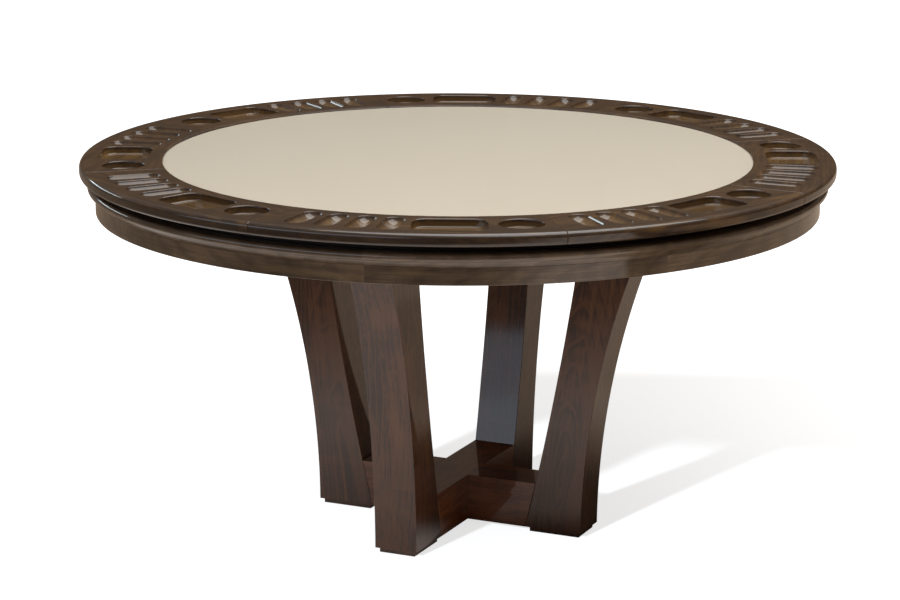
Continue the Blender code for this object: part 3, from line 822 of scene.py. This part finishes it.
def build_cloth():
    """The stretched cloth: nearly level over the panel, and rolled down softly at its rim."""
    low, high = node_box("playing_cloth")
    radius = outer_radius("playing_cloth")
    rings, spokes = 90, 240
    shape = bmesh.new()
    centre = shape.verts.new((0, 0, high.z))
    rows = []
    for ring in range(1, rings + 1):
        share = ring / rings
        distance = radius * (1 - (1 - share) ** 1.6)
        edge = max(0.0, 1 - (radius - distance) / CLOTH_ROLL)
        drop = (high.z - low.z) * 0.85 * edge ** 2
        row = []
        for spoke in range(spokes):
            angle = math.tau * spoke / spokes
            swell = CLOTH_SWELL * math.sin(3 * angle + 9 * share) * math.sin(math.pi * share)
            row.append(shape.verts.new(polar(distance, angle, high.z - drop + swell)))
        rows.append(row)
    for inner, outer in zip(rows, rows[1:]):
        quads_between(shape, inner, outer)
    for spoke in range(spokes):
        shape.faces.new((centre, rows[0][spoke], rows[0][(spoke + 1) % spokes]))
    under = [shape.verts.new((vertex.co.x, vertex.co.y, low.z)) for vertex in rows[-1]]
    quads_between(shape, rows[-1], under)
    shape.faces.new(under)
    bmesh.ops.recalc_face_normals(shape, faces=shape.faces)
    return add_piece("cloth", to_mesh(shape, "cloth"), CLOTH, "game_top", ["playing_cloth"])


# ---------------------------------------------------------------- apron and rings

def eased_rectangle(node, ease, upper=None):
    """A ring node's rectangular section with its corners rounded, the upper ones apart if wanted."""
    low, high = node_box(node)
    upper = upper or ease
    inner, outer = inner_radius(node), outer_radius(node)
    profile = arc((inner + ease, low.z + ease), ease, 180, 270, 4)
    profile += arc((outer - ease, low.z + ease), ease, 270, 360, 4)
    profile += arc((outer - upper, high.z - upper), upper, 0, 90, 4)
    profile += arc((inner + upper, high.z - upper), upper, 90, 180, 4)
    return profile


def ledge_profile():
    """The ledge moulding: a round nose over a cove that runs into the apron."""
    low, high = node_box("ledge_moulding")
    inner, nose_radius = inner_radius("ledge_moulding"), outer_radius("ledge_moulding")
    apron = outer_radius("apron_ring")
    nose = (nose_radius - LEDGE_ROUND, high.z - LEDGE_ROUND)
    reach = nose[0] - apron
    profile = [(inner, low.z), (apron, low.z)]
    for step in range(1, 10):
        angle = math.pi / 2 * step / 10
        profile.append((nose[0] - reach * math.cos(angle), low.z + LEDGE_COVE * math.sin(angle)))
    profile += arc(nose, LEDGE_ROUND, -90, 90, 16)
    profile.append((inner, high.z))
    return profile


def build_rings():
    """The support ring, the ledge moulding and the apron band."""
    bent = bent_grain(APRON_JOINT, STATIONS)
    pins = [round_pocket(f"locating_pin_{index + 1}", 0.0, (GAP, 0.0)) for index in range(4)]
    support = worked(full_ring(eased_rectangle("support_ring", 0.0008), 240), "support", pins)
    lay_grain(support, bent, scatter(21))
    add_piece("neck_ring", support, NECK_PAINTED_SHADE, "base", ["support_ring"])
    ledge = to_mesh(full_ring(ledge_profile()), "ledge")
    lay_grain(ledge, bent, scatter(22))
    add_piece("ledge", ledge, APRON_WOOD, "base", ["ledge_moulding"])
    apron = to_mesh(full_ring(eased_rectangle("apron_ring", 0.0012, 0.0003)), "apron")
    lay_grain(apron, bent, scatter(23))
    add_piece("apron", apron, APRON_WOOD, "base", ["apron_ring"])


# ---------------------------------------------------------------- legs

LEG_LOW = node_box("leg_1")[0].z
LEG_HIGH = node_box("leg_1")[1].z
LEG_HALF = node_box("leg_1")[1].y
LEG_FOOT_INNER = node_box("leg_1")[0].x
# Where each leg lies in its plank, which sets the arches of its figure
LEG_FIGURE = [(0.22, 0.008, 0.004), (-0.10, 0.05, 0.05), (0.30, 0.04, -0.03), (-0.25, -0.06, 0.06)]


def leg_outer(height):
    """The radius of a leg's outer edge at a height."""
    return LEG_FOOT_OUTER + LEG_OUTER_ARC - math.sqrt(LEG_OUTER_ARC ** 2 - height ** 2)


def leg_inner(height):
    """The radius of a leg's inner edge at a height."""
    share = (height - LEG_LOW) / (LEG_HIGH - LEG_LOW)
    straight = LEG_FOOT_INNER + (LEG_HEAD_INNER - LEG_FOOT_INNER) * share
    return straight + 4 * LEG_INNER_BOW * share * (1 - share)


def upright(outline, half):
    """An extruded (x, height) outline, standing in the XZ plane."""
    shape = stack([(outline, -half), (outline, half)])
    bmesh.ops.rotate(shape, verts=shape.verts, matrix=Matrix.Rotation(math.pi / 2, 3, "X"))
    return shape


def leg_mesh():
    """A leg on the +X axis with fine curves, its mortise and its two bolt holes."""
    steps = 30
    heights = [LEG_LOW + (LEG_HIGH - LEG_LOW) * step / steps for step in range(steps + 1)]
    outline = [(leg_outer(height), height) for height in heights]
    outline += [(leg_inner(height), height) for height in reversed(heights)]
    cutters = [pocket("stretcher_tenon_1")]
    for bolt in ("leg_bolt_1", "leg_bolt_2"):
        low, high = node_box(bolt)
        shank = lathe([(BOLT_SHANK + GAP, low.z - GAP), (BOLT_SHANK + GAP, high.z)])
        cutters.append(moved(shank, ((low.x + high.x) / 2, 0, 0)))
    return worked(upright(outline, LEG_HALF), "leg", cutters, EDGE_EASE)


def build_legs():
    """Four legs and their foot pads."""
    master = leg_mesh()
    sine, cosine = math.sin(LEG_GRAIN_LEAN), math.cos(LEG_GRAIN_LEAN)
    direction = straight_grain((sine, 0, cosine), (cosine, 0, -sine))
    low, high = node_box("foot_pad_1")
    pad_outline = rectangle(low.x, high.x, low.y, high.y)
    for side in range(4):
        turned = math.pi / 2 * side
        mesh = master.copy()
        lay_grain(mesh, direction, LEG_FIGURE[side])
        add_piece(f"sabre_leg_{side + 1}", mesh, LEG_WOOD, "base", [f"leg_{side + 1}"], turned)
        pad = worked(stack([(pad_outline, low.z), (pad_outline, high.z)]), "pad", (), PAD_EASE)
        lay_grain(pad, straight_grain((1, 0, 0), (0, 1, 0)), scatter(41 + side))
        add_piece(f"foot_{side + 1}", pad, LEG_WOOD, "base", [f"foot_pad_{side + 1}"], turned)
    bpy.data.meshes.remove(master)


def build_stretchers():
    """The two half-lapped stretchers between the legs."""
    low, high = node_box("stretcher_x")
    head = min(leg_inner(high.z) - GAP, -low.x)
    bottom = leg_inner(low.z) - GAP
    outline = [(-bottom, low.z), (bottom, low.z), (head, high.z), (-head, high.z)]
    middle = (low.z + high.z) / 2
    notch = rectangle(-LEG_HALF - GAP, LEG_HALF + GAP, -2 * LEG_HALF, 2 * LEG_HALF)
    spans = {"x": (middle - GAP / 2, high.z + GAP), "y": (low.z - GAP, middle + GAP / 2)}
    for index, (axis, (notch_low, notch_high)) in enumerate(spans.items()):
        cutters = [stack([(notch, notch_low), (notch, notch_high)])]
        cutters.append(pocket("stretcher_tenon_1"))
        cutters.append(moved(pocket("stretcher_tenon_1"), angle=math.pi))
        mesh = worked(upright(outline, LEG_HALF), "stretcher", cutters, STRETCHER_EASE)
        lay_grain(mesh, straight_grain((1, 0, 0), (0, 0, 1)), scatter(51 + index))
        add_piece(f"cross_stretcher_{axis}", mesh, STRETCHER_WOOD, "base",
                  [f"stretcher_{axis}"], math.pi / 2 * index)


# ---------------------------------------------------------------- fasteners

def build_bolts():
    """Leg bolts with rounded heads and a hexagonal socket."""
    for index in range(8):
        node = f"leg_bolt_{index + 1}"
        low, high = node_box(node)
        head = (high.x - low.x) / 2
        seat = high.z - BOLT_HEAD
        profile = [(BOLT_TIP, low.z), (BOLT_SHANK, low.z + BOLT_ROUND), (BOLT_SHANK, seat), (head, seat)]
        profile += arc((head - BOLT_ROUND, high.z - BOLT_ROUND), BOLT_ROUND, 0, 90, 5)
        socket = arc((0, 0), SOCKET_RADIUS, 0, 300, 5)
        cutter = stack([(socket, high.z - SOCKET_DEPTH), (socket, high.z + CUT_CLEAR)])
        mesh = worked(lathe(profile, 36), "bolt", [cutter])
        piece = add_piece(f"hex_bolt_{index + 1}", mesh, STEEL, "base", [node])
        piece.location = ((low.x + high.x) / 2, (low.y + high.y) / 2, 0)


def build_pins():
    """Locating pins with rounded tips."""
    for index in range(4):
        node = f"locating_pin_{index + 1}"
        low, high = node_box(node)
        radius = (high.x - low.x) / 2
        profile = [(radius - PIN_CHAMFER, low.z), (radius, low.z + PIN_CHAMFER)]
        profile += arc((radius - PIN_ROUND, high.z - PIN_ROUND), PIN_ROUND, 0, 80, 6)
        mesh = to_mesh(lathe(profile), "pin")
        piece = add_piece(f"steel_pin_{index + 1}", mesh, STEEL, "base", [node])
        piece.location = ((low.x + high.x) / 2, (low.y + high.y) / 2, 0)


def dress_cad_nodes():
    """Materials for the CAD nodes that keep their own shape, which is bare timber for most."""
    finishes = {"reverse_panel": PANEL_WOOD, "cloth_underlay": FOAM}
    for name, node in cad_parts.items():
        if not node.hide_render:
            node.data.materials.clear()
            node.data.materials.append(finishes.get(name, HIDDEN_WOOD))


# ---------------------------------------------------------------- floor, light and camera

def build_floor():
    """A plain pale floor."""
    shape = bmesh.new()
    bmesh.ops.create_grid(shape, x_segments=1, y_segments=1, size=40)
    mesh = to_mesh(shape, "floor")
    mesh.materials.append(floor_material())
    floor = bpy.data.objects.new("floor", mesh)
    floor.location.z = node_box("foot_pad_1")[0].z
    bpy.context.scene.collection.objects.link(floor)
    return floor


def aim(item, place, target):
    """Places a lamp, given as it is seen from the camera's side, and points it at a target."""
    turned = Matrix.Rotation(CAMERA_TURN, 3, "Z")
    item.location = turned @ Vector(place)
    towards = turned @ Vector(target) - item.location
    item.rotation_euler = towards.to_track_quat("-Z", "Y").to_euler()


def add_softbox(name, place, target, size, power, colour=(1, 1, 1)):
    """A rectangular soft light."""
    lamp = bpy.data.lights.new(name, "AREA")
    lamp.shape = "RECTANGLE"
    lamp.size, lamp.size_y = size
    lamp.energy = power
    lamp.color = colour
    item = bpy.data.objects.new(name, lamp)
    bpy.context.scene.collection.objects.link(item)
    aim(item, place, target)
    return item


def build_world():
    """The studio: a white backdrop for the camera, and a dim warm room with a window for the rest."""
    world = bpy.data.worlds.new("studio")
    bpy.context.scene.world = world
    shader = Shader(world, "Background")
    heading = shader.node("ShaderNodeTexCoord").outputs["Generated"]
    up = shader.axes(heading)["Z"]
    jamb = shader.remap(shader.dot(heading, seen_from_camera(-0.78, -0.62)), 0.72, 0.84)
    lower = shader.remap(up, 0.090, 0.091, 0.0, 0.7)
    upper = shader.remap(up, 0.108, 0.109, 0.0, 0.3)
    sill = shader.math("ADD", lower, upper)
    lintel = shader.remap(up, 0.34, 0.50, 1.0, 0.0)
    rays = shader.node("ShaderNodeLightPath").outputs
    pane = shader.math("MULTIPLY", shader.math("MULTIPLY", sill, lintel), jamb)
    pane = shader.math("MULTIPLY", pane, shader.remap(rays["Is Glossy Ray"], 0.0, 1.0, 0.3, 1.0))
    ceiling = shader.remap(up, 0.10, 0.90, 0.0, 0.30)
    room = shader.blend(ceiling, tone(86, 70, 56), tone(255, 250, 244))
    room = shader.blend(pane, room, (1.35, 1.5, 1.75, 1))
    shader.finish(Color=shader.blend(rays["Is Camera Ray"], room, WHITE), Strength=1.0)


def light_group(name, piece, state):
    """A collection that makes a lamp light one piece only, or everything but that piece."""
    group = bpy.data.collections.new(name)
    group.objects.link(piece)
    group.collection_objects[0].light_linking.link_state = state
    return group


def build_light(floor, cloth):
    """A low sun for the table's shadow on the floor, two boxes, a window and a fill on the cloth."""
    sun = bpy.data.lights.new("low_sun", "SUN")
    sun.energy = 2.9
    sun.angle = math.radians(3)
    item = bpy.data.objects.new("low_sun", sun)
    bpy.context.scene.collection.objects.link(item)
    aim(item, (-2.15, -3.25, 2.52), (0, 0, 0.7))
    item.light_linking.receiver_collection = light_group("sunlit", floor, "INCLUDE")
    overhead = add_softbox("overhead", (0.5, -0.3, 3.3), (0.1, 0, 0.7), (3.0, 3.0), 98)
    window = add_softbox("back_window", (-3.7, 2.8, 1.9), (-0.3, 0, 0.7), (2.2, 0.35), 13, (0.80, 0.93, 1.0))
    unlit = light_group("unlit_by_boxes", floor, "EXCLUDE")
    for lamp in (overhead, window):
        lamp.light_linking.receiver_collection = unlit
    fill = add_softbox("cloth_fill", (0.1, -1.9, 1.75), (0, 0, 0.76), (3.0, 0.4), 29, (1.0, 0.98, 0.96))
    fill.light_linking.receiver_collection = light_group("filled", cloth, "INCLUDE")


def build_camera():
    """The camera at the wanted viewpoint."""
    data = bpy.data.cameras.new("camera")
    data.lens = CAMERA_LENS
    data.sensor_width = 36
    camera = bpy.data.objects.new("camera", data)
    bpy.context.scene.collection.objects.link(camera)
    turned = Matrix.Rotation(CAMERA_TURN, 4, "Z")
    heading = Matrix.Rotation(-CAMERA_YAW, 4, "Z")
    tilt = Matrix.Rotation(math.pi / 2 - CAMERA_PITCH, 4, "X")
    roll = Matrix.Rotation(-CAMERA_ROLL, 4, "Z")
    camera.matrix_world = turned @ Matrix.Translation(CAMERA_PLACE) @ heading @ tilt @ roll
    bpy.context.scene.camera = camera


build_rail()
cloth = build_cloth()
build_rings()
build_legs()
build_stretchers()
build_bolts()
build_pins()
dress_cad_nodes()
build_world()
build_light(build_floor(), cloth)
build_camera()
bpy.context.scene.view_settings.view_transform = "Standard"
